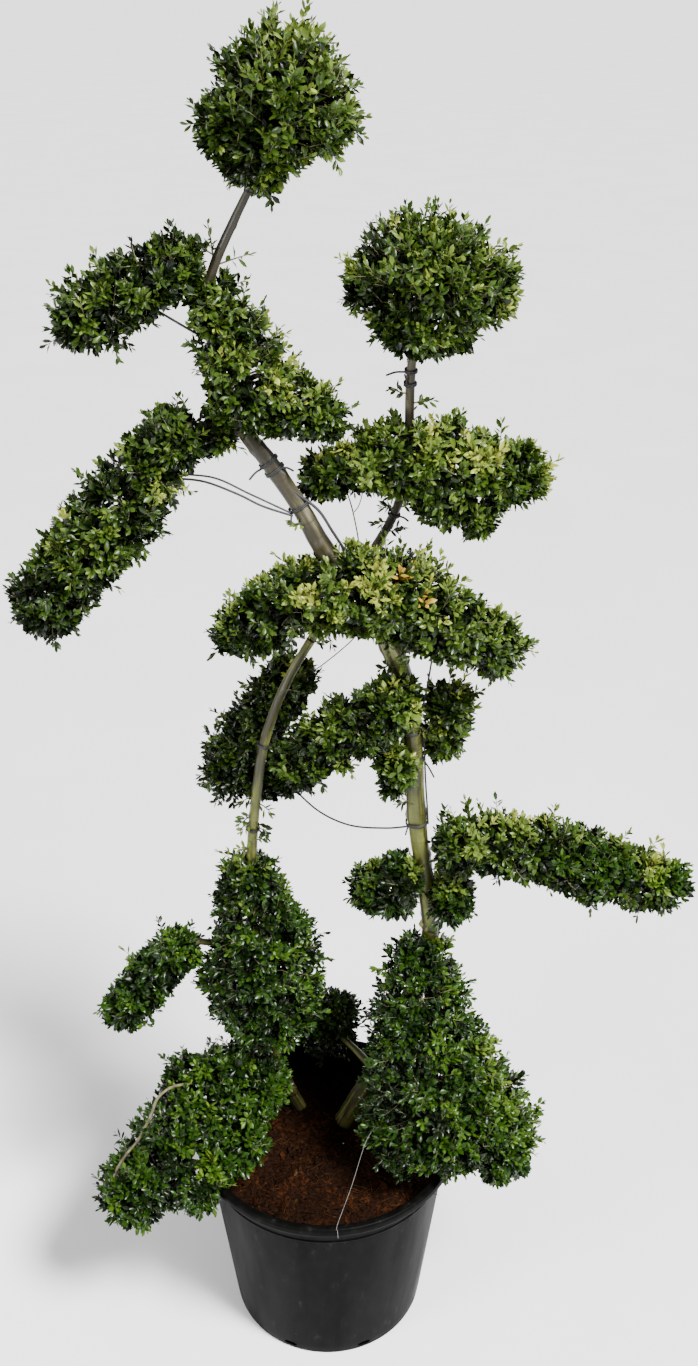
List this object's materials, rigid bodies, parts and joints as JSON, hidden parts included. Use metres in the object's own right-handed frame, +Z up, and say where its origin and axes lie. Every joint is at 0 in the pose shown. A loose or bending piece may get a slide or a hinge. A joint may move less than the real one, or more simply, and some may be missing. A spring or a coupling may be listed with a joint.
{
  "type": "potted cloud-pruned holly",
  "caption": "Cloud-pruned evergreen holly in a round nursery pot: crossing bare stems carry clipped pads, balls and cones of small dark leaves.",
  "frame": {"origin": "centre of the pot's flat underside", "axes": "+Z up the plant, +X to the right and +Y to the back as the picture shows it"},
  "size_m": [0.9694, 0.4406, 1.999],
  "materials": {
    "bark": "smooth grey-beige bark with a green tinge",
    "leaves": "small glossy dark green leaves",
    "pot_plastic": "satin black moulded plastic",
    "growing_mix": "dark red-brown bark and peat"
  },
  "bodies": {
    "root": {"bough_back_tuft": "bark", "bough_left_long": "bark", "bough_left_small_arm": "bark", "bough_lower_left": "bark", "bough_right_long": "bark", "bough_right_small": "bark", "foliage_back_tuft": "leaves", "foliage_behind_left_stem": "leaves", "foliage_cross_pad": "leaves", "foliage_fork_tuft": "leaves", "foliage_left_cone": "leaves", "foliage_left_long_pad": "leaves", "foliage_left_small_arm": "leaves", "foliage_left_small_pad": "leaves", "foliage_lower_left_pad": "leaves", "foliage_middle_pad": "leaves", "foliage_right_ball": "leaves", "foliage_right_cone": "leaves", "foliage_right_long_pad": "leaves", "foliage_right_small_pad": "leaves", "foliage_right_upper_pad": "leaves", "foliage_top_ball": "leaves", "foliage_top_left_pad": "leaves", "foliage_trunk_tuft": "leaves", "foliage_upper_left": "leaves", "left_stem": "bark", "main_trunk": "bark", "pot": "pot_plastic", "soil": "growing_mix"}
  },
  "joints": []
}
